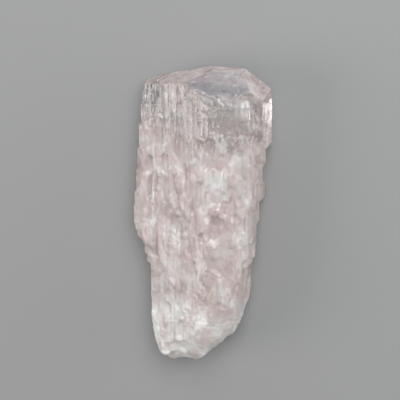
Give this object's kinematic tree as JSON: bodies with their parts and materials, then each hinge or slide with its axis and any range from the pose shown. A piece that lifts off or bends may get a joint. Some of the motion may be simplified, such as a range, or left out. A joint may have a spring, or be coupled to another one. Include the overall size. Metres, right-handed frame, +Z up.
{
  "type": "danburite crystal",
  "caption": "Loose prismatic danburite crystal, pale pink to milky, with striated sides, a clear chisel-shaped end and a broken white base, lying on its flat back.",
  "frame": {"origin": "centre of the bounding box, on the plane that the flat back rests on", "axes": "+Y along the crystal's length towards its faceted end, +X across its width, +Z up out of its front"},
  "size_m": [0.026, 0.0596, 0.0141],
  "materials": {
    "danburite": "glassy natural faces, striated and lightly etched, milky towards the base"
  },
  "bodies": {
    "root": {"danburite_crystal": "danburite"}
  },
  "joints": []
}
